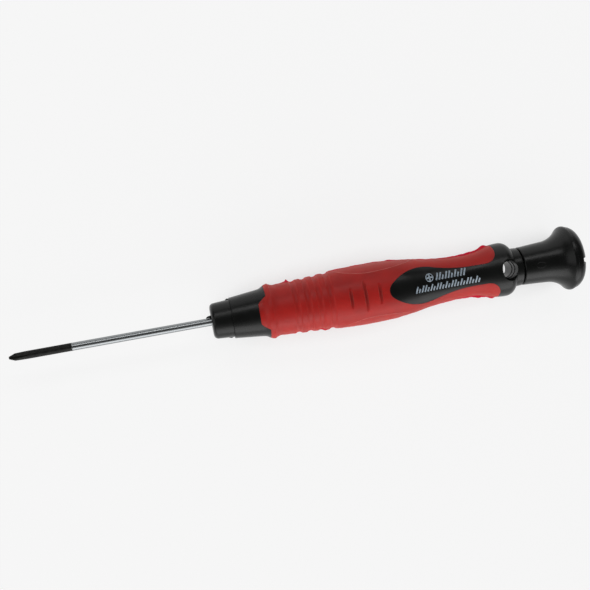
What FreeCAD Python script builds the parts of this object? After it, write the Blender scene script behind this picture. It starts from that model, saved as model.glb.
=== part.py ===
import FreeCAD, Part
import math
import os
import Sketcher

# A precision screwdriver, lying on its side. Millimetres.
# +X runs along the tool from the tip of the blade to the cap, +Z is the normal of the print window that
# faces up, and the origin is the tip of the blade on the tool's axis.

SIZES = {
    # Blade
    "blade_r": 1.0,  # radius of the rod
    "blade_reach": 50.0,  # from the tip to the front of the handle
    "blade_bury": 38.0,  # length of rod inside the handle
    "blade_end_chamfer": 0.3,
    "tip_r": 0.34,  # radius of the blunt end of the point
    "point_length": 1.45,  # length of the point's cone
    "flute_root": 0.2,  # distance of a flute's root from the axis at the tip
    "flute_length": 5.6,  # the flutes run out of the rod here
    "flute_half_width": 1.05,  # half the width of a flute's V for each unit of its height
    "flute_lead": 0.4,  # how far the flute cutter starts ahead of the tip
    "wing_start": 12.0,  # from the front of the handle to the first pressed wings
    "wing_pitch": 12.0,
    "wing_length": 5.0,
    "wing_span": 3.4,
    "wing_thickness": 1.0,
    # Inner core
    "nose_length": 5.1,
    "nose_front_r": 4.5,
    "nose_back_r": 4.78,
    "nose_round": 1.1,
    "stem_r": 2.7,
    "rib_r": 3.4,
    "rib_thickness": 1.2,
    "rib_start": 4.0,  # from the back of the nose
    "rib_length": 52.0,
    "boss_r": 4.3,  # the core round the lanyard hole
    "boss_length": 6.6,
    "neck_r": 5.0,
    "neck_back_r": 4.9,
    "neck_length": 2.15,
    "neck_bevel": 0.22,
    "spigot_r": 2.75,
    "spigot_chamfer": 0.25,
    # Skin of the handle: lengths between stations, from the back of the nose, and radii at them
    "cone_length": 7.3,
    "cone_front_r": 5.15,
    "cone_back_r": 5.95,
    "flare_length": 2.65,
    "flare_split": 0.45,  # share of the flare that is hollow, the rest is round
    "flare_root_radius": 2.46,
    "flare_top_radius": 3.05,
    "ridge_r": 7.0,
    "ridge_fall": 2.15,
    "ridge_fall_radius": 3.41,
    "rings_front_r": 6.4,
    "rings_length": 13.3,
    "belly_rise": 10.0,
    "belly_r": 8.12,
    "belly_swell": 0.98,  # how far the belly stands above the back of the rings
    "belly_fall": 25.5,
    "belly_split": 0.44,  # share of the fall that is round, the rest is the hollow of the waist
    "waist_r": 5.33,
    "bulb_rise": 9.9,
    "bulb_split": 0.5,
    "bulb_r": 6.95,
    "bulb_back": 2.5,
    "bulb_back_r": 5.15,
    # Grooves and facets of the grip
    "ring_first": 4.0,  # from the foot of the ridge to the first ring groove
    "ring_pitch": 2.87,
    "ring_depth": 0.34,
    "ring_tool_r": 1.1,
    "face_middle": -2.25,  # middle face groove, from the top of the belly
    "face_pitch": 3.65,
    "face_depth": 0.46,
    "face_tool_r": 0.44,
    "face_short_bend": 200.0,  # radius of the path of the two short grooves
    "face_long_bend": 13.5,  # and of the long one between them
    "facet_depth": 0.5,
    "facet_shift": 1.9,  # the facets are turned about an axis this far past the tool's
    "facet_front": 9.5,  # from the top of the belly forward
    "facet_front_fall": 0.85,  # below the belly
    "facet_back": 12.5,
    "facet_back_fall": 1.52,
    # Soft sleeve, in plan
    "sleeve_wall": 1.1,
    "sleeve_front": 8.8,  # front edge at the sides, from the back of the nose
    "tab_reach": 2.1,  # how far the front tabs stand ahead of that edge
    "tab_half": 2.45,
    "tab_shoulder": 0.55,
    "tab_shoulder_half": 3.1,
    "tab_root_half": 4.25,
    "window_tip": 3.8,  # tip of the window behind the top of the belly
    "window_tip_radius": 2.2,
    "window_widest": 12.4,
    "window_half": 4.58,
    "window_bow_radius": 12.0,
    "window_narrow": 26.6,
    "window_split": 0.256,
    "strip_half": 2.55,
    "strip_end": 2.45,  # the side strips end this far ahead of the top of the bulb
    "strip_corner": 3.1,
    # Lanyard hole
    "lanyard_r": 2.25,
    "lanyard_back": 0.65,  # behind the top of the bulb
    "lanyard_straight": 10.4,
    "mouth_height": 7.4,
    "mouth_across": 3.5,
    "mouth_along": 2.5,
    # Cap
    "washer_thickness": 0.2,
    "washer_r": 4.3,
    "cap_play": 0.1,  # end play of the cap
    "spin_clearance": 0.06,  # radial, spigot to bore
    "cap_front_r": 4.92,
    "cap_front_bevel": 0.2,
    "throat_length": 6.5,
    "throat_r": 5.32,
    "cap_flare_length": 5.4,
    "cap_flare_r": 8.02,
    "cap_flare_radius": 7.4,
    "cap_rim_length": 0.95,
    "cap_rim_r": 8.35,
    "cap_rim_radius": 0.95,
    "cap_shoulder": 8.1,  # depth of the running bore
    "well_r": 4.2,  # well for the washer and screw
    # Retaining washer and screw
    "keeper_r": 3.7,
    "keeper_thickness": 0.5,
    "keeper_clearance": 0.1,
    "screw_r": 1.1,
    "screw_length": 8.0,
    "screw_point": 0.8,
    "screw_head_r": 2.1,
    "screw_head_height": 1.4,
    "screw_head_round": 0.6,
    "screw_recess_depth": 0.8,
    "screw_recess_width": 0.5,
    "screw_recess_length": 2.2,
    # End disc
    "disc_inset": 0.17,  # the disc's edge inside the cap's rim
    "disc_height": 3.3,
    "disc_corner_radius": 2.8,
    "disc_lip_length": 1.2,
    "disc_lip_clearance": 0.03,
    "disc_hollow_r": 3.2,
    "disc_hollow_depth": 0.7,
    "notch_width": 1.5,
    "notch_depth": 1.7,
    "notch_inner": 3.7,
    "notch_length": 5.0,
    "notch_turn": 8.0,  # degrees round the axis from +Z
}

RING_GROOVES = 4
FLUTES = 4
OUTSIDE = "2 * Sizes.belly_r"  # cutters reach this far from the axis, clear of the handle

doc = FreeCAD.newDocument("Screwdriver")
sheet = doc.addObject("Spreadsheet::Sheet", "Sizes")
for row, (alias, number) in enumerate(SIZES.items(), start=1):
    sheet.set(f"A{row}", alias)
    sheet.set(f"B{row}", str(number))
    sheet.setAlias(f"B{row}", alias)
doc.recompute()


def size(expression):
    """The number that an expression on the sheet comes to."""
    return float(sheet.evalExpression(expression))


def total(*names):
    """An expression that adds up named sizes, or other expressions in brackets."""
    return " + ".join(name if name[0] == "(" else f"Sizes.{name}" for name in names)


def between(first, last, share):
    """An expression for a value that lies a share of the way from one expression to another."""
    return f"({first}) + Sizes.{share} * (({last}) - ({first}))"


# Stations along the tool
NOSE_FRONT = total("blade_reach")
NOSE_BACK = total("blade_reach", "nose_length")
CONE_BACK = f"{NOSE_BACK} + Sizes.cone_length"
RIDGE = f"{CONE_BACK} + Sizes.flare_length"
RIDGE_FOOT = f"{RIDGE} + Sizes.ridge_fall"
RINGS_BACK = f"{RIDGE_FOOT} + Sizes.rings_length"
BELLY = f"{RINGS_BACK} + Sizes.belly_rise"
WAIST = f"{BELLY} + Sizes.belly_fall"
BULB = f"{WAIST} + Sizes.bulb_rise"
BULB_BACK = f"{BULB} + Sizes.bulb_back"
NECK_BACK = f"{BULB_BACK} + Sizes.neck_length"
CAP_FRONT = f"{NECK_BACK} + Sizes.washer_thickness + Sizes.cap_play"
CAP_SHOULDER = f"{CAP_FRONT} + Sizes.cap_shoulder"
SPIGOT_END = f"{CAP_SHOULDER} + Sizes.keeper_clearance"
KEEPER_BACK = f"{SPIGOT_END} + Sizes.keeper_thickness"
THROAT = f"{CAP_FRONT} + Sizes.throat_length"
CAP_FLARE = f"{THROAT} + Sizes.cap_flare_length"
CAP_BACK = f"{CAP_FLARE} + Sizes.cap_rim_length"
DISC_BACK = f"{CAP_BACK} + Sizes.disc_height"
LANYARD = f"{BULB} + Sizes.lanyard_back"

RINGS_BACK_R = "(Sizes.belly_r - Sizes.belly_swell)"


class Outline:
    """A closed sketch drawn corner by corner. Every corner and radius is bound to the sheet."""

    def __init__(self, body, name, plane="XY_Plane", offset=None):
        self.sketch = body.newObject("Sketcher::SketchObject", name)
        base = next(item for item in body.Origin.OriginFeatures if item.Role == plane)
        self.sketch.AttachmentSupport = (base, [""])
        self.sketch.MapMode = "FlatFace"
        if offset is not None:
            self.sketch.setExpression("AttachmentOffset.Base.z", offset)
        self.first = None
        self.last = None
        self.corner = None
        self.start = None

    def bind(self, constraint, expression):
        index = self.sketch.addConstraint(constraint)
        self.sketch.setExpression(f"Constraints[{index}]", expression)

    def place(self, geometry, point, x, y):
        """Bind a point's two coordinates, or set it on an axis where one of them is 0."""
        if x == "0":
            self.sketch.addConstraint(Sketcher.Constraint("PointOnObject", geometry, point, -2))
        else:
            self.bind(Sketcher.Constraint("DistanceX", -1, 1, geometry, point, size(x)), x)
        if y == "0":
            self.sketch.addConstraint(Sketcher.Constraint("PointOnObject", geometry, point, -1))
        else:
            self.bind(Sketcher.Constraint("DistanceY", -1, 1, geometry, point, size(y)), y)

    def join(self, geometry, near, far):
        """Tie a new edge's near end to the last corner and remember its far end."""
        if self.last is None:
            self.place(geometry, near, *self.start)
            self.first = (geometry, near)
        else:
            self.sketch.addConstraint(Sketcher.Constraint("Coincident", *self.last, geometry, near))
        self.last = (geometry, far)

    def begin(self, x, y):
        self.start = (x, y)
        self.corner = FreeCAD.Vector(size(x), size(y), 0)
        return self

    def line_to(self, x, y, closing=False):
        target = FreeCAD.Vector(size(x), size(y), 0)
        geometry = self.sketch.addGeometry(Part.LineSegment(self.corner, target), False)
        self.join(geometry, 1, 2)
        if closing:
            self.sketch.addConstraint(Sketcher.Constraint("Coincident", *self.last, *self.first))
        else:
            self.place(geometry, 2, x, y)
        self.corner = target
        return self

    def close(self):
        return self.line_to(*self.start, closing=True)

    def arc_to(self, x, y, turn, radius=None, centre_x=None):
        """An arc that turns left or right to a corner, with its radius or its centre's place along X."""
        target = FreeCAD.Vector(size(x), size(y), 0)
        chord = target - self.corner
        side = 1 if turn == "left" else -1
        normal = FreeCAD.Vector(-chord.y, chord.x, 0).normalize() * side
        middle = (self.corner + target) * 0.5
        if radius is None:
            rise = (size(centre_x) - middle.x) / normal.x
        else:
            rise = math.sqrt(size(radius) ** 2 - (chord.Length / 2) ** 2)
        centre = middle + normal * rise
        circle = Part.Circle(centre, FreeCAD.Vector(0, 0, 1), (target - centre).Length)
        ends = (self.corner, target) if turn == "left" else (target, self.corner)
        angles = [math.atan2(end.y - centre.y, end.x - centre.x) for end in ends]
        if angles[1] < angles[0]:
            angles[1] += 2 * math.pi
        geometry = self.sketch.addGeometry(Part.ArcOfCircle(circle, *angles), False)
        near, far = (1, 2) if turn == "left" else (2, 1)
        self.join(geometry, near, far)
        self.place(geometry, far, x, y)
        if radius is None:
            centre_rule = Sketcher.Constraint("DistanceX", -1, 1, geometry, 3, size(centre_x))
            self.bind(centre_rule, centre_x)
        else:
            self.bind(Sketcher.Constraint("Radius", geometry, size(radius)), radius)
        self.corner = target
        return self

    def s_curve_to(self, start, end, share):
        """Two arcs that meet on the chord, level at both ends. start and end are (x, y) expressions."""
        mid_x = between(start[0], end[0], share)
        mid_y = between(start[1], end[1], share)
        falling = size(end[1]) < size(start[1])
        turns = ("right", "left") if falling else ("left", "right")
        self.arc_to(mid_x, mid_y, turns[0], centre_x=start[0])
        return self.arc_to(end[0], end[1], turns[1], centre_x=end[0])


def new_body(name):
    return doc.addObject("PartDesign::Body", name)


def axis_of(body, role):
    return next(item for item in body.Origin.OriginFeatures if item.Role == role)


def revolve(body, outline, kind="PartDesign::Revolution"):
    """Turn an outline a full turn about the tool's axis."""
    turned = body.newObject(kind, outline.sketch.Name + "_turned")
    turned.Profile = outline.sketch
    turned.ReferenceAxis = (axis_of(body, "X_Axis"), [""])
    turned.Angle = 360
    return turned


def skin_outline(body):
    """The handle's outline from the back of the nose to the back of the bulb."""
    flare_x = between(CONE_BACK, RIDGE, "flare_split")
    flare_y = between("Sizes.cone_back_r", "Sizes.ridge_r", "flare_split")
    outline = Outline(body, "skin_outline")
    outline.begin(NOSE_BACK, "0")
    outline.line_to(NOSE_BACK, "Sizes.cone_front_r")
    outline.line_to(CONE_BACK, "Sizes.cone_back_r")
    outline.arc_to(flare_x, flare_y, "left", radius="Sizes.flare_root_radius")
    outline.arc_to(RIDGE, "Sizes.ridge_r", "right", radius="Sizes.flare_top_radius")
    outline.arc_to(RIDGE_FOOT, "Sizes.rings_front_r", "left", radius="Sizes.ridge_fall_radius")
    outline.line_to(RINGS_BACK, RINGS_BACK_R)
    outline.arc_to(BELLY, "Sizes.belly_r", "right", centre_x=BELLY)
    belly = (BELLY, "Sizes.belly_r")
    waist = (WAIST, "Sizes.waist_r")
    bulb = (BULB, "Sizes.bulb_r")
    outline.s_curve_to(belly, waist, "belly_split")
    outline.s_curve_to(waist, bulb, "bulb_split")
    outline.arc_to(BULB_BACK, "Sizes.bulb_back_r", "right", centre_x=BULB)
    outline.line_to(BULB_BACK, "0")
    return outline.close()


def bed_outline(body):
    """The bed under the sleeve: straight tapers a wall's thickness inside the skin's stations."""
    corners = (
        (NOSE_BACK, "Sizes.cone_front_r"),
        (CONE_BACK, "Sizes.cone_back_r"),
        (RIDGE_FOOT, "Sizes.rings_front_r"),
        (RINGS_BACK, RINGS_BACK_R),
        (BELLY, "Sizes.belly_r"),
        (between(BELLY, WAIST, "belly_split"), between("Sizes.belly_r", "Sizes.waist_r", "belly_split")),
        (WAIST, "Sizes.waist_r"),
        (BULB, "Sizes.bulb_r"),
    )
    outline = Outline(body, "bed_outline")
    outline.begin(NOSE_BACK, "0")
    for x, radius in corners:
        outline.line_to(x, f"{radius} - Sizes.sleeve_wall")
    outline.line_to(BULB, "0")
    return outline.close()


def place(item, **where):
    """Bind a primitive's place to the sheet."""
    for side, expression in where.items():
        item.setExpression(f"Placement.Base.{side}", expression)


def box(name, length, width, height, centre_x=None, low_x=None, low_z=None):
    """A box with its length along X, centred across the tool, and in height unless low_z is given."""
    item = doc.addObject("Part::Box", name)
    item.setExpression("Length", length)
    item.setExpression("Width", width)
    item.setExpression("Height", height)
    start = low_x if centre_x is None else f"{centre_x} - ({length}) / 2"
    place(item, x=start, y=f"-({width}) / 2", z=low_z or f"-({height}) / 2")
    return item


def cut(name, base, tool):
    item = doc.addObject("Part::Cut", name)
    item.Base = base
    item.Tool = tool
    return item


def fuse(name, *pieces):
    item = doc.addObject("Part::MultiFuse", name)
    item.Shapes = list(pieces)
    return item


def mirror(name, source, normal):
    item = doc.addObject("Part::Mirroring", name)
    item.Source = source
    item.Normal = FreeCAD.Vector(*normal)
    return item


def make_blade():
    """The rod with its fluted point, and the wings pressed in its buried end."""
    rod = new_body("blade_rod")
    end = total("blade_reach", "blade_bury")
    outline = Outline(rod, "rod_outline")
    outline.begin("0", "0")
    outline.line_to("0", "Sizes.tip_r")
    outline.line_to("Sizes.point_length", "Sizes.blade_r")
    outline.line_to(f"{end} - Sizes.blade_end_chamfer", "Sizes.blade_r")
    outline.line_to(end, "Sizes.blade_r - Sizes.blade_end_chamfer")
    outline.line_to(end, "0")
    outline.close()
    revolve(rod, outline)
    doc.recompute()

    top = "2 * Sizes.blade_r"
    run = "(Sizes.blade_r - Sizes.flute_root) / Sizes.flute_length"
    stations = (
        ("-Sizes.flute_lead", f"Sizes.flute_root - Sizes.flute_lead * {run}"),
        ("Sizes.flute_length + Sizes.flute_lead", f"Sizes.blade_r + Sizes.flute_lead * {run}"),
    )
    ends = []
    for number, (offset, root) in enumerate(stations):
        sketch = Outline(rod, f"flute_section_{number}", "YZ_Plane", offset).sketch
        half = f"Sizes.flute_half_width * ({top} - ({root}))"
        left = FreeCAD.Vector(-size(half), size(top), 0)
        right = FreeCAD.Vector(size(half), size(top), 0)
        bottom = FreeCAD.Vector(0, size(root), 0)
        for start, finish in ((left, bottom), (bottom, right), (right, left)):
            sketch.addGeometry(Part.LineSegment(start, finish), False)
        for edge in range(3):
            joint = Sketcher.Constraint("Coincident", edge, 2, (edge + 1) % 3, 1)
            sketch.addConstraint(joint)
        sketch.addConstraint(Sketcher.Constraint("PointOnObject", 0, 2, -2))
        sketch.addConstraint(Sketcher.Constraint("Symmetric", 0, 1, 1, 2, -2))
        rules = (
            (Sketcher.Constraint("DistanceY", -1, 1, 0, 2, size(root)), root),
            (Sketcher.Constraint("DistanceY", -1, 1, 1, 2, size(top)), top),
            (Sketcher.Constraint("DistanceX", -1, 1, 1, 2, size(half)), half),
        )
        for rule, expression in rules:
            index = sketch.addConstraint(rule)
            sketch.setExpression(f"Constraints[{index}]", expression)
        ends.append(sketch)
    doc.recompute()
    flute = rod.newObject("PartDesign::SubtractiveLoft", "flute")
    flute.Profile = ends[0]
    flute.Sections = [ends[1]]
    flute.Ruled = True
    doc.recompute()
    flutes = rod.newObject("PartDesign::PolarPattern", "flutes")
    flutes.Originals = [flute]
    flutes.Axis = (axis_of(rod, "X_Axis"), [""])
    flutes.Angle = 360
    flutes.Occurrences = FLUTES
    rod.Tip = flutes

    wings = []
    for number in range(2):
        start = f"{NOSE_FRONT} + Sizes.wing_start + {number} * Sizes.wing_pitch"
        sides = ("Sizes.wing_span", "Sizes.wing_thickness")
        across, height = sides if number == 0 else sides[::-1]
        wings.append(box(f"wing_{number}", "Sizes.wing_length", across, height, low_x=start))
    return fuse("blade", rod, *wings)


def make_lanyard_tool():
    """The cutter for the lanyard hole: a straight bore that opens into an oval mouth on both sides."""
    bore = doc.addObject("Part::Cylinder", "lanyard_bore")
    bore.setExpression("Radius", "Sizes.lanyard_r")
    bore.setExpression("Height", "2 * Sizes.mouth_height")
    place(bore, x=LANYARD, z="-Sizes.mouth_height")
    throat = doc.addObject("Part::Circle", "lanyard_throat")
    throat.setExpression("Radius", "Sizes.lanyard_r")
    place(throat, x=LANYARD, z="Sizes.lanyard_straight / 2")
    rim = doc.addObject("Part::Ellipse", "lanyard_rim")
    rim.setExpression("MajorRadius", "Sizes.mouth_across")
    rim.setExpression("MinorRadius", "Sizes.mouth_along")
    rim.Placement = FreeCAD.Placement(FreeCAD.Vector(), FreeCAD.Rotation(90, 0, 0))
    place(rim, x=LANYARD, z="Sizes.mouth_height")
    # The circle starts a quarter turn round, where the oval starts, so that the mouth isn't twisted.
    throat.Placement.Rotation = rim.Placement.Rotation
    mouth = doc.addObject("Part::Loft", "lanyard_mouth")
    mouth.Sections = [throat, rim]
    mouth.Solid = True
    mouth.Ruled = True
    other_mouth = mirror("lanyard_mouth_below", mouth, (0, 0, 1))
    return fuse("lanyard_tool", bore, mouth, other_mouth)


def make_core_blank():
    """Nose, stem, boss, neck and spigot in one turned outline, with crossed ribs on the stem."""
    body = new_body("core_turned")
    boss_front = f"{BULB_BACK} - Sizes.boss_length"
    outline = Outline(body, "core_outline")
    outline.begin(NOSE_FRONT, "0")
    outline.line_to(NOSE_FRONT, "Sizes.nose_front_r - Sizes.nose_round")
    nose_round_end = f"{NOSE_FRONT} + Sizes.nose_round"
    outline.arc_to(nose_round_end, "Sizes.nose_front_r", "right", centre_x=nose_round_end)
    outline.line_to(NOSE_BACK, "Sizes.nose_back_r")
    outline.line_to(NOSE_BACK, "Sizes.stem_r")
    outline.line_to(boss_front, "Sizes.stem_r")
    outline.line_to(boss_front, "Sizes.boss_r")
    outline.line_to(BULB_BACK, "Sizes.boss_r")
    outline.line_to(BULB_BACK, "Sizes.neck_r")
    outline.line_to(f"{NECK_BACK} - Sizes.neck_bevel", "Sizes.neck_back_r")
    outline.line_to(NECK_BACK, "Sizes.neck_back_r - Sizes.neck_bevel")
    outline.line_to(NECK_BACK, "Sizes.spigot_r")
    outline.line_to(f"{SPIGOT_END} - Sizes.spigot_chamfer", "Sizes.spigot_r")
    outline.line_to(SPIGOT_END, "Sizes.spigot_r - Sizes.spigot_chamfer")
    outline.line_to(SPIGOT_END, "0")
    outline.close()
    revolve(body, outline)
    rib_start = f"{NOSE_BACK} + Sizes.rib_start"
    flat_rib = box("rib_flat", "Sizes.rib_length", "2 * Sizes.rib_r", "Sizes.rib_thickness", low_x=rib_start)
    tall_rib = box("rib_tall", "Sizes.rib_length", "Sizes.rib_thickness", "2 * Sizes.rib_r", low_x=rib_start)
    return fuse("core_blank", body, flat_rib, tall_rib)


def make_face_grooves():
    """Cutters for the three short grooves on each label face: rings whose paths are flatter than the belly,
    so each groove is deepest in the middle and runs out at its ends."""
    cutters = []
    bends = ("face_short_bend", "face_long_bend", "face_short_bend")
    belly_bend = "(pow(Sizes.belly_rise; 2) / (2 * Sizes.belly_swell))"
    for number, bend in enumerate(bends):
        offset = f"(Sizes.face_middle + {number - 1} * Sizes.face_pitch)"
        surface = f"(Sizes.belly_r - pow({offset}; 2) / (2 * {belly_bend}))"
        cutter = doc.addObject("Part::Torus", f"face_groove_{number}")
        cutter.setExpression("Radius1", f"Sizes.{bend}")
        cutter.setExpression("Radius2", "Sizes.face_tool_r")
        cutter.Placement = FreeCAD.Placement(FreeCAD.Vector(), FreeCAD.Rotation(FreeCAD.Vector(0, 1, 0), 90))
        height = f"{surface} - Sizes.face_depth + Sizes.face_tool_r - Sizes.{bend}"
        place(cutter, x=f"{BELLY} + {offset}", z=height)
        cutters.append(cutter)
    upper = fuse("face_grooves_above", *cutters)
    lower = mirror("face_grooves_below", upper, (0, 0, 1))
    return fuse("face_grooves", upper, lower)


def make_skin():
    """The whole handle behind the nose as one solid, with its grooves and facets."""
    body = new_body("skin_turned")
    revolve(body, skin_outline(body))
    doc.recompute()

    rings = Outline(body, "ring_grooves")
    slope = f"({RINGS_BACK_R} - Sizes.rings_front_r) / Sizes.rings_length"
    for number in range(RING_GROOVES):
        offset = f"(Sizes.ring_first + {number} * Sizes.ring_pitch)"
        x = f"{RIDGE_FOOT} + {offset}"
        lift = "Sizes.ring_tool_r - Sizes.ring_depth"
        y = f"Sizes.rings_front_r + {offset} * {slope} + {lift}"
        centre = FreeCAD.Vector(size(x), size(y), 0)
        circle = Part.Circle(centre, FreeCAD.Vector(0, 0, 1), size("Sizes.ring_tool_r"))
        geometry = rings.sketch.addGeometry(circle, False)
        rings.place(geometry, 3, x, y)
        rings.bind(Sketcher.Constraint("Radius", geometry, size("Sizes.ring_tool_r")), "Sizes.ring_tool_r")
    revolve(body, rings, "PartDesign::Groove")
    doc.recompute()

    # A facet on each side: what lies outside a flatter surface, turned about an axis past the tool's own.
    facet = new_body("facet_turned")
    axis_drop = "Sizes.facet_shift"
    top = f"Sizes.belly_r - Sizes.facet_depth + {axis_drop}"
    front = f"{BELLY} - Sizes.facet_front"
    back = f"{BELLY} + Sizes.facet_back"
    outline = Outline(facet, "facet_outline")
    outline.begin(front, f"Sizes.belly_r - Sizes.facet_front_fall + {axis_drop}")
    outline.arc_to(BELLY, top, "right", centre_x=BELLY)
    outline.arc_to(back, f"Sizes.belly_r - Sizes.facet_back_fall + {axis_drop}", "right", centre_x=BELLY)
    outline.line_to(back, OUTSIDE)
    outline.line_to(front, OUTSIDE)
    outline.close()
    turned = revolve(facet, outline)
    turned.Midplane = True
    turned.Angle = 120
    facet.setExpression("Placement.Base.y", f"-{axis_drop}")
    other_facet = mirror("facet_other", facet, (0, 1, 0))
    faceted = cut("skin_faceted", body, fuse("facets", facet, other_facet))
    return cut("skin", faceted, make_face_grooves())


def make_sleeve(skin):
    """The soft sleeve: the outer layer of the skin inside a forked plan with front tabs."""
    bed = new_body("sleeve_bed")
    revolve(bed, bed_outline(bed))
    layer = cut("sleeve_layer", skin, bed)

    plan = new_body("sleeve_plan")
    front = f"{NOSE_BACK} + Sizes.sleeve_front"
    tab_front = f"{front} - Sizes.tab_reach"
    strip_end = f"{BULB} - Sizes.strip_end"
    strip_corner = f"{strip_end} - Sizes.strip_corner"
    corner_half = "Sizes.strip_half + Sizes.strip_corner"
    widest = (f"{BELLY} + Sizes.window_widest", "Sizes.window_half")
    narrow = (f"{BELLY} + Sizes.window_narrow", "Sizes.strip_half")
    tip = f"{BELLY} + Sizes.window_tip"
    outline = Outline(plan, "plan_outline")
    outline.begin(tab_front, "0")
    outline.line_to(tip, "0")
    # The tip's small arc meets the long bow where the line through their centres crosses both.
    tip_centre = f"({tip} + Sizes.window_tip_radius)"
    bow_y = "(Sizes.window_bow_radius - Sizes.window_half)"
    span = "(Sizes.window_bow_radius - Sizes.window_tip_radius)"
    join_x = f"{tip_centre} - Sizes.window_tip_radius * (({widest[0]}) - {tip_centre}) / {span}"
    join_y = f"Sizes.window_tip_radius * {bow_y} / {span}"
    outline.arc_to(join_x, join_y, "right", centre_x=tip_centre)
    outline.arc_to(*widest, "right", centre_x=widest[0])
    outline.s_curve_to(widest, narrow, "window_split")
    outline.line_to(strip_corner, "Sizes.strip_half")
    outline.arc_to(strip_end, corner_half, "left", centre_x=strip_corner)
    outline.line_to(strip_end, OUTSIDE)
    outline.line_to(front, OUTSIDE)
    outline.line_to(front, "Sizes.tab_root_half")
    outline.line_to(f"{tab_front} + Sizes.tab_shoulder", "Sizes.tab_shoulder_half")
    outline.line_to(tab_front, "Sizes.tab_half")
    outline.close()
    pad = plan.newObject("PartDesign::Pad", "plan_pad")
    pad.Profile = outline.sketch
    pad.Midplane = True
    pad.setExpression("Length", f"2 * {OUTSIDE}")
    other_half = mirror("sleeve_plan_other", plan, (0, 1, 0))
    both_halves = fuse("sleeve_plan_whole", plan, other_half)
    sleeve = doc.addObject("Part::Common", "grip_sleeve")
    sleeve.Base = layer
    sleeve.Tool = both_halves
    return sleeve


def make_washer(name, front, thickness, inner, outer):
    """A flat ring on the tool's axis."""
    body = new_body(name)
    back = f"{front} + {thickness}"
    outline = Outline(body, f"{name}_outline")
    outline.begin(front, inner)
    outline.line_to(front, outer)
    outline.line_to(back, outer)
    outline.line_to(back, inner)
    outline.close()
    revolve(body, outline)
    return body


def make_screw():
    """A pan-head screw with a cross recess. Its thread is left plain."""
    body = new_body("screw_turned")
    start = f"{KEEPER_BACK} - Sizes.screw_length"
    head_back = f"{KEEPER_BACK} + Sizes.screw_head_height"
    outline = Outline(body, "screw_outline")
    outline.begin(start, "0")
    outline.line_to(f"{start} + Sizes.screw_point", "Sizes.screw_r")
    outline.line_to(KEEPER_BACK, "Sizes.screw_r")
    outline.line_to(KEEPER_BACK, "Sizes.screw_head_r")
    outline.line_to(f"{head_back} - Sizes.screw_head_round", "Sizes.screw_head_r")
    outline.arc_to(
        head_back,
        "Sizes.screw_head_r - Sizes.screw_head_round",
        "right",
        centre_x=f"{head_back} - Sizes.screw_head_round",
    )
    outline.line_to(head_back, "0")
    outline.close()
    revolve(body, outline)
    floor = f"{head_back} - Sizes.screw_recess_depth"
    deep = "2 * Sizes.screw_recess_depth"
    wide, long = "Sizes.screw_recess_width", "Sizes.screw_recess_length"
    flat_arm = box("recess_flat", deep, long, wide, low_x=floor)
    tall_arm = box("recess_tall", deep, wide, long, low_x=floor)
    return cut("retaining_screw", body, fuse("screw_recess", flat_arm, tall_arm))


def make_cap():
    """The flared cap, with a running bore for the spigot and a wider well behind it."""
    body = new_body("swivel_cap")
    bore = "Sizes.spigot_r + Sizes.spin_clearance"
    outline = Outline(body, "cap_outline")
    outline.begin(CAP_FRONT, bore)
    outline.line_to(CAP_FRONT, "Sizes.cap_front_r - Sizes.cap_front_bevel")
    outline.line_to(f"{CAP_FRONT} + Sizes.cap_front_bevel", "Sizes.cap_front_r")
    outline.line_to(THROAT, "Sizes.throat_r")
    outline.arc_to(CAP_FLARE, "Sizes.cap_flare_r", "left", radius="Sizes.cap_flare_radius")
    outline.arc_to(CAP_BACK, "Sizes.cap_rim_r", "right", radius="Sizes.cap_rim_radius")
    outline.line_to(CAP_BACK, "Sizes.well_r")
    outline.line_to(CAP_SHOULDER, "Sizes.well_r")
    outline.line_to(CAP_SHOULDER, bore)
    outline.close()
    revolve(body, outline)
    return body


def make_end_disc():
    """The domed disc that closes the cap: a lip in the cap's well, a hollow for the screw and a pry notch."""
    body = new_body("disc_turned")
    lip_r = "Sizes.well_r - Sizes.disc_lip_clearance"
    lip_front = f"{CAP_BACK} - Sizes.disc_lip_length"
    hollow_back = f"{lip_front} + Sizes.disc_hollow_depth"
    edge_r = "Sizes.cap_rim_r - Sizes.disc_inset"
    outline = Outline(body, "disc_outline")
    outline.begin(hollow_back, "0")
    outline.line_to(hollow_back, "Sizes.disc_hollow_r")
    outline.line_to(lip_front, "Sizes.disc_hollow_r")
    outline.line_to(lip_front, lip_r)
    outline.line_to(CAP_BACK, lip_r)
    outline.line_to(CAP_BACK, edge_r)
    # The corner arc starts level with the axis and the dome is centred on the axis. Where they meet, both
    # are square to the line from the dome's centre: that line's slope gives the corner of the outline.
    drop = f"(({edge_r}) - Sizes.disc_corner_radius)"
    depth = "(Sizes.disc_height - Sizes.disc_corner_radius)"
    dome_r = f"((pow({drop}; 2) + pow({depth}; 2)) / (2 * {depth}) + Sizes.disc_corner_radius)"
    dome_centre = f"(Sizes.disc_height - {dome_r})"
    reach = f"({dome_r} / ({dome_r} - Sizes.disc_corner_radius))"
    join_x = f"{CAP_BACK} + {dome_centre} - {dome_centre} * {reach}"
    join_y = f"{drop} * {reach}"
    outline.arc_to(join_x, join_y, "right", radius="Sizes.disc_corner_radius")
    outline.arc_to(DISC_BACK, "0", "right", radius=dome_r)
    outline.close()
    revolve(body, outline)
    notch = box(
        "pry_notch",
        "2 * Sizes.notch_depth",
        "Sizes.notch_width",
        "Sizes.notch_length",
        low_x=f"{DISC_BACK} - Sizes.notch_depth",
        low_z="Sizes.notch_inner",
    )
    disc = cut("cap_end_disc", body, notch)
    disc.Placement.Rotation.Axis = FreeCAD.Vector(1, 0, 0)
    disc.setExpression("Placement.Rotation.Angle", "Sizes.notch_turn")
    return disc


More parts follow.
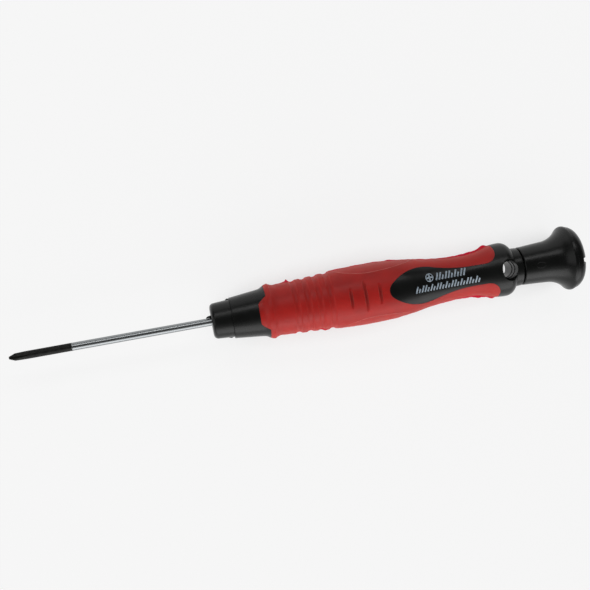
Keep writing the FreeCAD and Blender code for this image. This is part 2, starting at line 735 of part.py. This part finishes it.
lanyard_tool = make_lanyard_tool()
blade = make_blade()
screw = make_screw()
core_blank = make_core_blank()
skin = make_skin()
sleeve = make_sleeve(skin)
core = cut("inner_core", core_blank, fuse("core_inserts", blade, screw, lanyard_tool))
shell = cut("outer_shell", cut("outer_layers", skin, sleeve), core_blank)
outer_body = cut("outer_body", shell, lanyard_tool)
thrust_washer = make_washer(
    "thrust_washer",
    NECK_BACK,
    "Sizes.washer_thickness",
    "Sizes.spigot_r + Sizes.spin_clearance",
    "Sizes.washer_r",
)
keeper = make_washer(
    "retaining_washer",
    SPIGOT_END,
    "Sizes.keeper_thickness",
    "Sizes.screw_r",
    "Sizes.keeper_r",
)
cap = make_cap()
end_disc = make_end_disc()
doc.recompute()

for item in doc.Objects:
    if "Invalid" in item.State or "Error" in item.State:
        raise RuntimeError(f"{item.Label} failed: {item.State}")

os.makedirs("parts", exist_ok=True)
for piece in (blade, core, outer_body, sleeve, thrust_washer, cap, keeper, screw, end_disc):
    shape = piece.Shape
    if shape.isNull() or not shape.isValid():
        raise RuntimeError(f"{piece.Label} has no valid shape")
    print(f"{piece.Label}: {len(shape.Solids)} solid, {shape.Volume:.1f} mm3")
    shape.exportStep(f"parts/{piece.Label}.step")
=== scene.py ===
import math
import random

import bmesh
import bpy
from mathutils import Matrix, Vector
from mathutils.bvhtree import BVHTree


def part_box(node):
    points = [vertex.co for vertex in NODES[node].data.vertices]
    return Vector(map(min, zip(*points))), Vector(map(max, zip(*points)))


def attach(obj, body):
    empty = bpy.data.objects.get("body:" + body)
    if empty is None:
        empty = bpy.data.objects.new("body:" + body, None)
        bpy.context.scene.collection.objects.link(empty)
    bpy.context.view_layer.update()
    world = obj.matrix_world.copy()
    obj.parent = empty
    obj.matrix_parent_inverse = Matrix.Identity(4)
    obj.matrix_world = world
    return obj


# A precision screwdriver on a pale floor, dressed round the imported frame. Metres, in the frame's axes:
# +X runs from the tip to the cap, +Z out of the print window, +Y across the tool.

MM = 0.001

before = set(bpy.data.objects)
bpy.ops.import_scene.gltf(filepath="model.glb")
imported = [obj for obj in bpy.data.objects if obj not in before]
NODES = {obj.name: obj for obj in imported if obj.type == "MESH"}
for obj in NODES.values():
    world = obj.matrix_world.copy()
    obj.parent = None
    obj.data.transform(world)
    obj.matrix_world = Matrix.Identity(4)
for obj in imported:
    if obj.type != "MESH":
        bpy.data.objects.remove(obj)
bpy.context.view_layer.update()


# ---------------------------------------------------------------- materials


def srgb(red, green, blue):
    """A colour written as screen values from 0 to 255."""

    def linear(value):
        value /= 255
        return value / 12.92 if value <= 0.04045 else ((value + 0.055) / 1.055) ** 2.4

    return (linear(red), linear(green), linear(blue), 1.0)


class Finish:
    """A material and short calls that add nodes to it."""

    def __init__(self, name):
        self.material = bpy.data.materials.new(name)
        self.material.use_nodes = True
        self.tree = self.material.node_tree
        self.shader = self.tree.nodes["Principled BSDF"]
        self.place = self.add("ShaderNodeTexCoord").outputs["Object"]

    def add(self, kind, inputs=(), **settings):
        node = self.tree.nodes.new(kind)
        for name, value in settings.items():
            setattr(node, name, value)
        for name, value in dict(inputs).items():
            if isinstance(value, bpy.types.NodeSocket):
                self.tree.links.new(value, node.inputs[name])
            else:
                node.inputs[name].default_value = value
        return node

    def noise(self, grain, detail=3.0, roughness=0.55, place=None):
        """Noise whose lumps are about grain metres across."""
        node = self.add(
            "ShaderNodeTexNoise",
            {"Vector": place or self.place, "Scale": 1 / grain, "Detail": detail, "Roughness": roughness},
        )
        return node.outputs["Fac"]

    def ramp(self, value, low, high, to_low=0.0, to_high=1.0):
        node = self.add(
            "ShaderNodeMapRange",
            {"Value": value, "From Min": low, "From Max": high, "To Min": to_low, "To Max": to_high},
            interpolation_type="SMOOTHSTEP",
        )
        return node.outputs["Result"]

    def math(self, operation, first, second=0.0):
        node = self.add("ShaderNodeMath", {0: first, 1: second}, operation=operation)
        return node.outputs["Value"]

    def mix(self, share, first, second):
        node = self.add("ShaderNodeMix", data_type="RGBA")
        for socket, value in ((0, share), (6, first), (7, second)):
            if isinstance(value, bpy.types.NodeSocket):
                self.tree.links.new(value, node.inputs[socket])
            else:
                node.inputs[socket].default_value = value
        return node.outputs[2]

    def coarse_place(self, along, across):
        """Object coordinates squeezed so that noise is drawn out along the tool."""
        scale = (1 / along, 1 / across, 1 / across)
        node = self.add("ShaderNodeMapping", {"Vector": self.place, "Scale": scale})
        return node.outputs["Vector"]

    def open_sky(self, distance):
        """How open the surface is within distance metres: 1 in the open, towards 0 in a narrow seam."""
        return self.add("ShaderNodeAmbientOcclusion", {"Distance": distance}, samples=8).outputs["AO"]

    def colour(self, value):
        self.set("Base Color", value)

    def set(self, name, value):
        """Link or write one socket of the shader."""
        if isinstance(value, bpy.types.NodeSocket):
            self.tree.links.new(value, self.shader.inputs[name])
        else:
            self.shader.inputs[name].default_value = value

    def relief(self, layers, soft_edge=0.0):
        """Bumps from (height, depth in metres) pairs, over edges rounded by soft_edge metres."""
        normal = None
        if soft_edge:
            bevel = self.add("ShaderNodeBevel", {"Radius": soft_edge}, samples=6)
            normal = bevel.outputs["Normal"]
        for height, depth in layers:
            inputs = {"Height": height, "Distance": depth, "Strength": 1.0}
            if normal is not None:
                inputs["Normal"] = normal
            normal = self.add("ShaderNodeBump", inputs).outputs["Normal"]
        self.set("Normal", normal)


def dress(node, finish):
    """Give a CAD node's slots a finish."""
    for slot in NODES[node].material_slots:
        slot.material = finish.material


def black_plastic(name, colour, gloss, grain=0.00009, depth=0.0000035):
    """Satin moulded plastic: fine spark grain, slow waviness and a little dust-grey unevenness."""
    finish = Finish(name)
    patches = finish.noise(0.006, 4.0)
    spark = finish.noise(grain, 2.0)
    pale = tuple(1.7 * value for value in colour[:3]) + (1.0,)
    finish.colour(finish.mix(finish.ramp(patches, 0.42, 0.72, 0.0, 0.5), colour, pale))
    uneven = finish.ramp(patches, 0.3, 0.7, -0.05, 0.05)
    finish.set("Roughness", finish.math("ADD", uneven, gloss))
    # Seams and the walls of holes see little light, so they lose their shine.
    open_sky = finish.open_sky(0.0025)
    finish.set("Specular IOR Level", finish.ramp(open_sky, 0.35, 0.85, 0.03, 0.28))
    finish.relief([(finish.noise(0.0035, 2.0), 0.00003), (spark, depth)], soft_edge=0.00016)
    return finish


def soft_red():
    """Overmoulded elastomer: satin, faintly lumpy, with a pale bloom where it curves away."""
    finish = Finish("grip_red")
    patches = finish.noise(0.005, 3.0)
    specks = finish.noise(0.00035, 2.0)
    deep = srgb(174, 14, 9)
    light = srgb(192, 21, 14)
    worn = srgb(194, 60, 50)
    body = finish.mix(finish.ramp(patches, 0.3, 0.7), deep, light)
    body = finish.mix(finish.ramp(specks, 0.66, 0.78, 0.0, 0.35), body, worn)
    # Painted shade: the colour goes dark red in the grooves and narrow hollows, where shade falls.
    open_sky = finish.open_sky(0.0009)
    finish.colour(finish.mix(finish.ramp(open_sky, 0.55, 0.97), srgb(92, 9, 8), body))
    uneven = finish.ramp(patches, 0.3, 0.7, -0.05, 0.05)
    finish.set("Roughness", finish.math("ADD", uneven, 0.44))
    finish.set("Specular IOR Level", 0.26)
    finish.set("Sheen Weight", 1.0)
    finish.set("Sheen Roughness", 0.6)
    finish.set("Sheen Tint", (1.0, 0.2, 0.17, 1.0))
    finish.set("Subsurface Weight", 0.4)
    finish.set("Subsurface Radius", (0.002, 0.00025, 0.0002))
    finish.set("Subsurface Scale", 1.0)
    lumps = finish.noise(0.0012, 2.0)
    grain = finish.noise(0.00012, 2.0)
    finish.relief([(lumps, 0.000018), (grain, 0.000005)], soft_edge=0.00016)
    return finish


def blade_steel(black_end, fade):
    """Drawn rod with faint lines along it, and a blackened point with an uneven edge."""
    finish = Finish("blade_steel")
    lines = finish.noise(1.0, 2.0, place=finish.coarse_place(0.02, 0.00012))
    wobble = finish.math("MULTIPLY", finish.noise(0.0006, 2.0), 2 * fade)
    along = finish.add("ShaderNodeSeparateXYZ", {"Vector": finish.place}).outputs["X"]
    edge = finish.math("ADD", along, wobble)
    bare = finish.ramp(edge, black_end, black_end + fade)
    oxide = finish.mix(finish.ramp(finish.noise(0.0012, 4.0), 0.35, 0.7), srgb(18, 18, 17), srgb(34, 34, 31))
    steel = finish.mix(finish.ramp(lines, 0.35, 0.65), srgb(134, 137, 139), srgb(152, 155, 156))
    finish.colour(finish.mix(bare, oxide, steel))
    finish.set("Metallic", finish.ramp(edge, black_end, black_end + fade))
    finish.set("Specular IOR Level", 0.2)
    rough = finish.ramp(lines, 0.3, 0.7, 0.22, 0.28)
    dull = finish.math("MULTIPLY", finish.math("SUBTRACT", 1.0, bare), 0.3)
    finish.set("Roughness", finish.math("ADD", rough, dull))
    finish.relief([(lines, 0.0000006), (finish.noise(0.00015, 2.0), 0.0000003)], soft_edge=0.00005)
    return finish


def plated_steel(name, colour):
    """Dull zinc plating with a faint crystal mottle."""
    finish = Finish(name)
    mottle = finish.noise(0.0006, 4.0)
    light = tuple(min(1.0, 1.25 * value) for value in colour[:3]) + (1.0,)
    finish.colour(finish.mix(finish.ramp(mottle, 0.35, 0.65), colour, light))
    finish.set("Metallic", 1.0)
    finish.set("Roughness", finish.ramp(mottle, 0.3, 0.7, 0.28, 0.42))
    finish.relief([(mottle, 0.000004)], soft_edge=0.00005)
    return finish


def print_ink():
    """Matt pad-printing ink, thin enough for the black to mottle it."""
    finish = Finish("print_ink")
    thin = finish.noise(0.0004, 3.0)
    finish.colour(finish.mix(finish.ramp(thin, 0.3, 0.62), srgb(140, 154, 168), srgb(186, 200, 212)))
    finish.set("Roughness", finish.ramp(thin, 0.3, 0.7, 0.5, 0.62))
    finish.relief([(thin, 0.000004)])
    return finish


def flash_red():
    """Thin squeezed-out elastomer: light comes through it. Its colour is the fin's own red with a painted
    glow on top, much lighter and pinker than the grip's, for the light shining through the thin fin.
    """
    finish = Finish("flash_red")
    patches = finish.noise(0.0015, 3.0)
    # Painted glow: these reds are far lighter than the grip's, for light passing through the fin.
    finish.colour(finish.mix(finish.ramp(patches, 0.3, 0.7), srgb(252, 26, 62), srgb(255, 66, 100)))
    finish.set("Roughness", finish.ramp(patches, 0.3, 0.7, 0.32, 0.45))
    finish.set("Transmission Weight", 0.35)
    finish.set("IOR", 1.1)
    finish.relief([(finish.noise(0.0004, 2.0), 0.00001)])
    return finish


def floor_paper():
    """Pale matt paper."""
    finish = Finish("floor_paper")
    cloud = finish.noise(0.3, 2.0)
    finish.colour(finish.mix(finish.ramp(cloud, 0.3, 0.7), srgb(238, 238, 238), srgb(243, 243, 243)))
    finish.set("Roughness", 0.9)
    finish.set("Specular IOR Level", 0.1)
    finish.relief([(finish.noise(0.0008, 3.0), 0.00002)])
    # The camera and reflections see the sheet mostly as bright paper. More of its real shading is left
    # close to the tool, so that the soft shadow stays.
    path = finish.add("ShaderNodeLightPath").outputs
    seen = finish.math("MAXIMUM", path["Is Camera Ray"], path["Is Glossy Ray"])
    seen = finish.math("MAXIMUM", seen, path["Is Transmission Ray"])
    glow = finish.add("ShaderNodeEmission", {"Color": srgb(254, 254, 254), "Strength": 1.0})
    open_sky = finish.open_sky(0.012)
    share = finish.math("MULTIPLY", seen, finish.ramp(open_sky, 0.42, 0.68, 0.6, 0.86))
    both = finish.add("ShaderNodeMixShader", {"Fac": share})
    output = finish.tree.nodes["Material Output"]
    finish.tree.links.new(finish.shader.outputs["BSDF"], both.inputs[1])
    finish.tree.links.new(glow.outputs["Emission"], both.inputs[2])
    finish.tree.links.new(both.outputs["Shader"], output.inputs["Surface"])
    return finish


BLACK_END = 15.4 * MM  # the blackened length of the blade
dress("blade", blade_steel(BLACK_END, 0.25 * MM))
dress("inner_core", black_plastic("core_black", srgb(15, 16, 15), 0.29))
dress("outer_body", black_plastic("body_black", srgb(14, 15, 14), 0.3))
dress("grip_sleeve", soft_red())
dress("thrust_washer", black_plastic("washer_plastic", srgb(60, 60, 58), 0.4))
dress("swivel_cap", black_plastic("cap_black", srgb(13, 14, 13), 0.28))
dress("cap_end_disc", black_plastic("disc_black", srgb(12, 13, 12), 0.28))
dress("retaining_washer", plated_steel("washer_steel", srgb(160, 162, 160)))
dress("retaining_screw", plated_steel("screw_steel", srgb(150, 152, 150)))


# ---------------------------------------------------------------- stage


CAMERA_AIM = Vector((71.8, 2.9, 0)) * MM
CAMERA_FROM = Vector((42.37, 16.86, 242.66)) * MM
CAMERA_RIGHT = Vector((0.97730, -0.16867, 0.12819))
PICTURE = 590.0  # pixels across
FOCAL = 970.0  # the focal length in the same pixels
LAMP_AIM = Vector((80, 0, 0)) * MM


def make_camera():
    data = bpy.data.cameras.new("camera")
    data.sensor_width = 36.0
    data.lens = FOCAL / PICTURE * data.sensor_width
    data.clip_start = 0.01
    data.clip_end = 20
    camera = bpy.data.objects.new("camera", data)
    bpy.context.scene.collection.objects.link(camera)
    back = (CAMERA_FROM - CAMERA_AIM).normalized()
    right = (CAMERA_RIGHT - back * CAMERA_RIGHT.dot(back)).normalized()
    up = back.cross(right)
    turn = camera.matrix_world.to_3x3()
    turn.col[0] = right
    turn.col[1] = up
    turn.col[2] = back
    camera.matrix_world = turn.to_4x4()
    camera.location = CAMERA_FROM
    bpy.context.scene.camera = camera


def new_object(name, mesh):
    piece = bpy.data.objects.new(name, mesh)
    bpy.context.scene.collection.objects.link(piece)
    return piece


def make_floor():
    """A pale sheet that touches the tool where it rests: under the belly and under the cap's rim."""
    reach = 3.0
    gap = 0.02 * MM
    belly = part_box("grip_sleeve")
    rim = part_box("swivel_cap")
    belly_x = 90.5 * MM
    rim_x = rim[1].x - 0.4 * MM
    slope = (rim[0].z - belly[0].z) / (rim_x - belly_x)
    corners = []
    for x in (-reach, reach):
        for y in (-reach, reach):
            corners.append((x, y, belly[0].z + slope * (x - belly_x) - gap))
    mesh = bpy.data.meshes.new("floor")
    mesh.from_pydata(corners, [], [(0, 2, 3, 1)])
    floor = new_object("floor", mesh)
    mesh.materials.append(floor_paper().material)


def area_light(name, tilt, heading, distance, size, power):
    """A soft lamp aimed at the tool's middle, tilt degrees off the vertical towards a compass heading."""
    data = bpy.data.lights.new(name, "AREA")
    data.shape = "RECTANGLE"
    data.size, data.size_y = size
    data.energy = power
    lamp = bpy.data.objects.new(name, data)
    bpy.context.scene.collection.objects.link(lamp)
    tilt, heading = math.radians(tilt), math.radians(heading)
    out = Vector((math.sin(tilt) * math.cos(heading), math.sin(tilt) * math.sin(heading), math.cos(tilt)))
    lamp.location = LAMP_AIM + out * distance
    lamp.rotation_mode = "QUATERNION"
    lamp.rotation_quaternion = out.to_track_quat("Z", "X")


def make_world():
    """A dim room that is light towards -Y, where the window is, as the photograph's reflections show."""
    world = bpy.data.worlds.new("room")
    bpy.context.scene.world = world
    world.use_nodes = True
    tree = world.node_tree
    background = tree.nodes["Background"]
    direction = tree.nodes.new("ShaderNodeTexCoord")
    parts = tree.nodes.new("ShaderNodeSeparateXYZ")
    tree.links.new(direction.outputs["Generated"], parts.inputs["Vector"])
    light = tree.nodes.new("ShaderNodeMapRange")
    light.interpolation_type = "SMOOTHSTEP"
    for name, value in (("From Min", -0.35), ("From Max", -1.0), ("To Min", 0.1), ("To Max", 1.1)):
        light.inputs[name].default_value = value
    tree.links.new(parts.outputs["Y"], light.inputs["Value"])
    # Seen straight on, past the edge of the floor, the room is as pale as the paper.
    seen = tree.nodes.new("ShaderNodeMix")
    seen.inputs["B"].default_value = 0.9
    path = tree.nodes.new("ShaderNodeLightPath")
    tree.links.new(path.outputs["Is Camera Ray"], seen.inputs["Factor"])
    tree.links.new(light.outputs["Result"], seen.inputs["A"])
    tree.links.new(seen.outputs["Result"], background.inputs["Strength"])
    background.inputs["Color"].default_value = (1, 1, 1, 1)


# ---------------------------------------------------------------- small pieces on the CAD surfaces


class Surface:
    """The skin of some CAD nodes, for laying small pieces on it."""

    def __init__(self, *nodes):
        corners = []
        faces = []
        for node in nodes:
            mesh = NODES[node].data
            first = len(corners)
            corners.extend(vertex.co.copy() for vertex in mesh.vertices)
            faces.extend([first + corner for corner in face.vertices] for face in mesh.polygons)
        self.tree = BVHTree.FromPolygons(corners, faces)

    def hit(self, start, direction):
        """The first point of the surface along a ray, and its outward normal."""
        point, normal, _, _ = self.tree.ray_cast(start, direction)
        return point, normal if normal.dot(direction) < 0 else -normal

    def under(self, x, y):
        """The surface below a point of the plan."""
        return self.hit(Vector((x, y, 30 * MM)), Vector((0, 0, -1)))

    def round_axis(self, x, angle):
        """The surface at a place along the tool and an angle round it, from +Y towards +Z."""
        out = Vector((0, math.cos(angle), math.sin(angle)))
        return self.hit(Vector((x, 0, 0)) + out * 30 * MM, -out)


def add_strip(mesh, rows, closed=False):
    """Skin a closed bar through rows of corners. Ends are capped unless the bar is closed on itself."""
    rings = [[mesh.verts.new(corner) for corner in row] for row in rows]
    width = len(rings[0])
    last = len(rings) if closed else len(rings) - 1
    for number in range(last):
        here, there = rings[number], rings[(number + 1) % len(rings)]
        for side in range(width):
            after = (side + 1) % width
            mesh.faces.new((here[side], here[after], there[after], there[side]))
    if not closed:
        mesh.faces.new(rings[0][::-1])
        mesh.faces.new(rings[-1])


def lay_line(mesh, path, half_width, height, sink=0.03 * MM, closed=False):
    """A low rounded bead on a surface, along places given as (point, normal) pairs."""
    rows = []
    count = len(path)
    for number, (point, normal) in enumerate(path):
        before = path[(number - 1) % count if closed else max(number - 1, 0)][0]
        after = path[(number + 1) % count if closed else min(number + 1, count - 1)][0]
        side = (after - before).cross(normal).normalized()
        taper = 1.0
        if not closed:
            taper = min(1.0, 0.15 + min(number, count - 1 - number) / 3)
        half = half_width * taper
        rows.append(
            (
                point - side * half - normal * sink,
                point + side * half - normal * sink,
                point + side * half * 0.6 + normal * height * taper,
                point - side * half * 0.6 + normal * height * taper,
            )
        )
    add_strip(mesh, rows, closed)


def finish_piece(name, mesh, body, material, smooth=False):
    """Turn a built mesh into a piece that rides on a body."""
    bmesh.ops.recalc_face_normals(mesh, faces=mesh.faces)
    data = bpy.data.meshes.new(name)
    mesh.to_mesh(data)
    mesh.free()
    data.materials.append(material)
    for face in data.polygons:
        face.use_smooth = smooth
    piece = new_object(name, data)
    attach(piece, body)


INK = 0.02 * MM  # how far ink stands out of the surface, and reaches into it


def print_bar(mesh, surface, start, finish, half_width):
    """One stroke of ink on the window, between two places of the plan."""
    start, finish = Vector(start), Vector(finish)
    along = finish - start
    side = Vector((-along.y, along.x)).normalized() * half_width
    steps = max(2, round(along.length / (0.3 * MM)))
    rows = []
    for number in range(steps + 1):
        middle = start + along * number / steps
        corners = []
        for across, lift in ((-side, -INK), (side, -INK), (side, INK), (-side, INK)):
            place = middle + across
            point, normal = surface.under(place.x, place.y)
            corners.append(point + normal * lift)
        rows.append(corners)
    add_strip(mesh, rows)


def make_print(surface):
    """A generic marking: a cross in a ring, and two rows of slanted strokes."""
    mesh = bmesh.new()
    lean = 0.42  # sideways run of a stroke for its rise
    top, bottom = 2.42 * MM, 0.66 * MM
    x = 106.9 * MM
    pitch = 0.82 * MM
    heights = (1.0, 1.0, 0.62, 1.0, 1.0, 0.62, 1.0, 0.62, 1.0, 1.0)
    for number, share in enumerate(heights):
        rise = (top - bottom) * share
        start = (x + number * pitch, bottom)
        print_bar(mesh, surface, start, (start[0] + lean * rise, bottom + rise), 0.2 * MM)

    middle = Vector((105.25, 1.6)) * MM
    ring_r, arm_length, turn = 0.95 * MM, 0.82 * MM, 0.04
    ring = []
    for number in range(28):
        angle = 2 * math.pi * number / 28
        place = middle + Vector((math.cos(angle), math.sin(angle))) * ring_r
        ring.append(surface.under(place.x, place.y))
    lay_line(mesh, ring, 0.15 * MM, INK, INK, closed=True)
    for angle in (turn, turn + math.pi / 2):
        arm = Vector((math.cos(angle), math.sin(angle))) * arm_length
        print_bar(mesh, surface, middle - arm, middle + arm, 0.19 * MM)

    top, bottom = -0.1 * MM, -1.72 * MM
    x = 101.1 * MM
    pitch = 0.8 * MM
    for number in range(22):
        share = 0.6 if number % 5 in (1, 4) else 1.0
        rise = (top - bottom) * share
        start = (x + number * pitch, bottom)
        print_bar(mesh, surface, start, (start[0] + lean * rise, bottom + rise), 0.19 * MM)
    finish_piece("window_print", mesh, "handle", print_ink().material)


def make_creases(skin):
    """The fine raised line the mould leaves along each edge of the two side facets."""
    shift = 1.9 * MM  # a facet is an arc whose centre lies this far across the axis
    first, step, count = 81.9, 0.385, 54
    beside = math.radians(57)  # an angle at which the skin is round and not cut by a facet
    # Painted highlight: the beads are coloured a pale pinkish red, much lighter than the grip, for the light
    # that the crease edges catch.
    crease_highlight = Finish("grip_crease_highlight")
    patches = crease_highlight.noise(0.0012, 3.0)
    crease_highlight.colour(crease_highlight.mix(crease_highlight.ramp(patches, 0.3, 0.7), srgb(206, 74, 66), srgb(224, 104, 95)))
    crease_highlight.set("Roughness", crease_highlight.ramp(patches, 0.3, 0.7, 0.36, 0.46))
    crease_highlight.relief([(crease_highlight.noise(0.0003, 2.0), 0.000006)])
    for side in (1, -1):
        for level in (1, -1):
            path = []
            for number in range(count):
                x = (first + step * number) * MM
                round_skin = skin.round_axis(x, beside)[0]
                round_r = math.hypot(round_skin.y, round_skin.z)
                flat_r = skin.round_axis(x, 0)[0].y
                across = ((flat_r + shift) ** 2 - round_r**2 - shift**2) / (2 * shift)
                if abs(across) >= round_r:
                    continue
                angle = math.atan2(level * math.sqrt(round_r**2 - across**2), side * across)
                path.append(skin.round_axis(x, angle))
            mesh = bmesh.new()
            lay_line(mesh, path, 0.11 * MM, 0.035 * MM)
            name = f"grip_crease_highlight_{'left' if side > 0 else 'right'}_{'top' if level > 0 else 'under'}"
            finish_piece(name, mesh, "handle", crease_highlight.material, smooth=True)


def make_flash(skin):
    """The thin fin of elastomer squeezed out along the mould's parting line, down both sides."""
    material = flash_red().material
    chance = random.Random(7)
    first, last, count = 66.6, 123.2, 257
    strip_start, strip_fade = 112, 5  # the fin grows higher along the two strips at the back
    tooth, tooth_half, tooth_rise = 70.1, 0.36, 0.45  # a torn tooth of the left fin, behind the ridge
    thick, thin = Vector((0, 0, 0.11 * MM)), Vector((0, 0, 0.02 * MM))
    for name, side, peaks in (("left", 1, (70.0, 97.0, 121.6)), ("right", -1, (77.5, 118.6, 122.4))):
        rows = []
        wander = 0.5
        for number in range(count + 1):
            x = first + (last - first) * number / count
            wander = min(1.0, max(0.0, wander + chance.uniform(-0.22, 0.22)))
            bumps = sum(math.exp(-(((x - peak) / 0.9) ** 2)) for peak in peaks)
            strip = min(1.0, max(0.0, (x - strip_start) / strip_fade))
            height = 0.06 + 0.12 * wander + 0.2 * bumps + (0.14 + 0.2 * wander) * strip
            if name == "left":
                height += tooth_rise * max(0.0, 1 - abs(x - tooth) / tooth_half)
            height *= min(1.0, number / 4 + 0.1, (count - number) / 4 + 0.1)
            point, _ = skin.round_axis(x * MM, 0 if side > 0 else math.pi)
            root = point - Vector((0, side * 0.05 * MM, 0))
            edge = point + Vector((0, side * height * MM, 0))
            rows.append((root - thick, edge - thin, edge + thin, root + thick))
        mesh = bmesh.new()
        add_strip(mesh, rows)
        finish_piece(f"grip_flash_{name}", mesh, "handle", material)


def make_mould_mark(cap):
    """The low oval ring on the cap, left by the mould."""
    middle_x, middle_y = 134.95, -0.32
    half_length, half_width = 1.25, 0.72
    ring = []
    for number in range(32):
        angle = 2 * math.pi * number / 32
        x = middle_x + half_length * math.cos(angle)
        y = middle_y + half_width * math.sin(angle)
        ring.append(cap.under(x * MM, y * MM))
    mesh = bmesh.new()
    lay_line(mesh, ring, 0.1 * MM, 0.045 * MM, closed=True)
    material = NODES["swivel_cap"].material_slots[0].material
    finish_piece("cap_mould_mark", mesh, "cap", material, smooth=True)


def make_spurs(core):
    """Short fins of hard plastic at the nose: two at its seam and a burr beside the blade."""
    mesh = bmesh.new()
    for x, angle, length, height in ((54.7, -0.05, 1.1, 0.3), (54.2, math.pi + 0.05, 1.3, 0.24)):
        path = []
        for number in range(7):
            path.append(core.round_axis((x - length / 2 + length * number / 6) * MM, angle))
        lay_line(mesh, path, 0.1 * MM, height * MM)
    material = NODES["inner_core"].material_slots[0].material
    finish_piece("nose_flash", mesh, "handle", material)

    mesh = bmesh.new()
    rows = []
    outline = ((-0.8, -1), (0.8, -1), (1, 0), (0.6, 1), (-0.6, 1), (-1, 0))
    sections = (
        (50.2, 1.25, 0.5, 0.34),
        (49.6, 1.3, 0.6, 0.3),
        (49.1, 1.24, 0.66, 0.22),
        (48.75, 1.12, 0.66, 0.1),
    )
    for x, y, z, half in sections:
        middle = Vector((x, y, z)) * MM
        rows.append([middle + Vector((0, across * half, up * half)) * MM for across, up in outline])
    add_strip(mesh, rows)
    finish_piece("blade_burr", mesh, "handle", material)


def make_bore_lines(wall):
    """Two low beads round the wall of the lanyard hole."""
    hole_x = 126.55
    material = NODES["outer_body"].material_slots[0].material
    for name, z in (("upper", 2.3), ("lower", 0.2)):
        ring = []
        for number in range(40):
            angle = 2 * math.pi * number / 40
            out = Vector((math.cos(angle), math.sin(angle), 0))
            ring.append(wall.hit(Vector((hole_x, 0, z)) * MM, out))
        mesh = bmesh.new()
        lay_line(mesh, ring, 0.16 * MM, 0.1 * MM, closed=True)
        finish_piece(f"bore_line_{name}", mesh, "handle", material, smooth=True)


skin = Surface("outer_body", "grip_sleeve")
make_print(skin)
make_creases(skin)
make_flash(skin)
make_mould_mark(Surface("swivel_cap"))
make_spurs(Surface("inner_core"))
make_bore_lines(Surface("outer_body", "inner_core"))

make_camera()
make_floor()
make_world()
area_light("lamp_far", 42, 90, 0.8, (0.2, 1.0), 1.7)
area_light("lamp_near", 80, -90, 0.9, (0.9, 1.6), 7.5)
area_light("lamp_tip_end", 64, 180, 0.9, (0.6, 0.6), 0.9)
area_light("lamp_far_low", 84, 90, 0.9, (0.5, 1.2), 1.5)
bpy.context.scene.view_settings.view_transform = "Standard"
